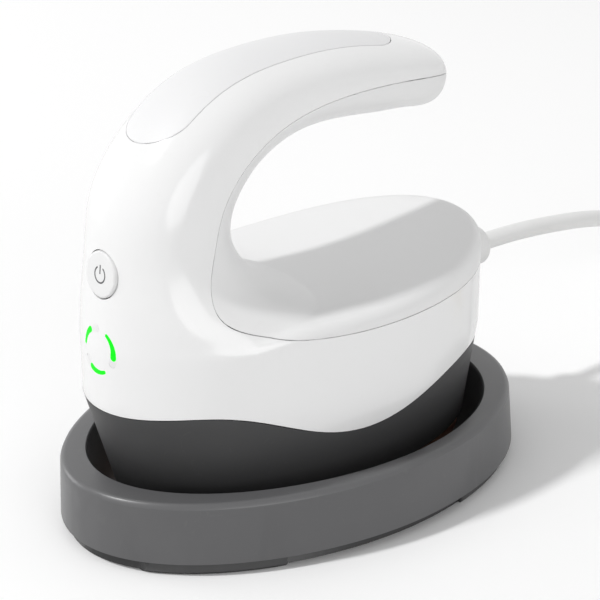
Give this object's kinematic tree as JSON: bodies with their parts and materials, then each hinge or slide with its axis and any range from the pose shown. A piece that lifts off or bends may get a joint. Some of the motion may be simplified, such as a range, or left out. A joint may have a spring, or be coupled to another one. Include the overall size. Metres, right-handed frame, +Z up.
{
  "type": "mini handheld heat press",
  "caption": "Small handheld heat press with an arched grip, a push button with a light ring, and a copper-toned plate, resting in its open stand with its cord coiled behind it.",
  "frame": {"origin": "on the floor under the middle of the stand", "axes": "+Z up, +Y from the button end to the cord end, +X across; the part is symmetric about X = 0 apart from the boards, their wires and the coiled cord"},
  "size_m": [0.121, 0.3876, 0.1299],
  "materials": {
    "white_shell": "gloss",
    "white_satin": "satin",
    "black_housing": "matte",
    "grey_stand": "satin",
    "rubber_black": "matte",
    "silicone_grey": "matte",
    "plate_coating": "satin",
    "steel": "satin",
    "zinc_screw": "satin",
    "element_sheath": "satin",
    "mineral_mat": "matte",
    "sensor_ceramic": "matte",
    "fuse_metal": "satin",
    "circuit_board": "satin",
    "component_black": "satin",
    "component_green": "satin",
    "component_can": "satin",
    "led_body": "gloss",
    "light_green": "gloss",
    "shroud_black": "matte",
    "wire_insulation": "satin",
    "cable_grey": "satin",
    "white_pvc": "satin",
    "brass_blade": "satin",
    "tie_black": "matte"
  },
  "bodies": {
    "stand": {"stand_shell": "grey_stand", "stand_feet": "rubber_black", "plate_rest_pads": "silicone_grey"},
    "press": {"outer_shell": "white_shell", "inner_cover": "white_shell", "grip_inlay": "white_satin", "handle_screws": "zinc_screw", "lower_housing": "black_housing", "housing_screws": "zinc_screw", "heat_plate": "plate_coating", "heating_element": "element_sheath", "element_cover_plate": "steel", "cover_plate_screws": "zinc_screw", "insulation_mat": "mineral_mat", "heat_shield": "steel", "plate_posts": "steel", "plate_post_screws": "zinc_screw", "temperature_sensor": "sensor_ceramic", "thermal_fuse": "fuse_metal", "fuse_strap": "steel", "power_board": "circuit_board", "terminal_block": "component_green", "heater_relay": "component_black", "board_capacitor": "component_can", "control_board": "circuit_board", "board_screws": "zinc_screw", "tact_switch": "component_black", "indicator_leds": "led_body", "light_shroud": "shroud_black", "indicator_lens": "light_green", "cord_gland": "white_pvc", "heater_leads": "wire_insulation", "supply_wires": "wire_insulation", "sensor_leads": "wire_insulation", "board_connectors": "component_black", "board_cable": "cable_grey", "power_cord": "white_pvc", "cord_coil": "white_pvc", "cord_tail": "white_pvc", "cord_tie": "tie_black", "plug_body": "white_pvc", "plug_blades": "brass_blade"},
    "button": {"power_button": "white_satin", "switch_plunger": "component_black"}
  },
  "joints": [
    {"name": "lift_from_stand", "type": "slide", "parent": "stand", "child": "press", "axis": [0, 0, 1], "range_m": [0, 0.06]},
    {"name": "button_press", "type": "slide", "parent": "press", "child": "button", "axis": [0, 1, 0], "range_m": [0, 0.0006], "stiffness_N_per_m": 900, "springref_m": -0.001}
  ]
}
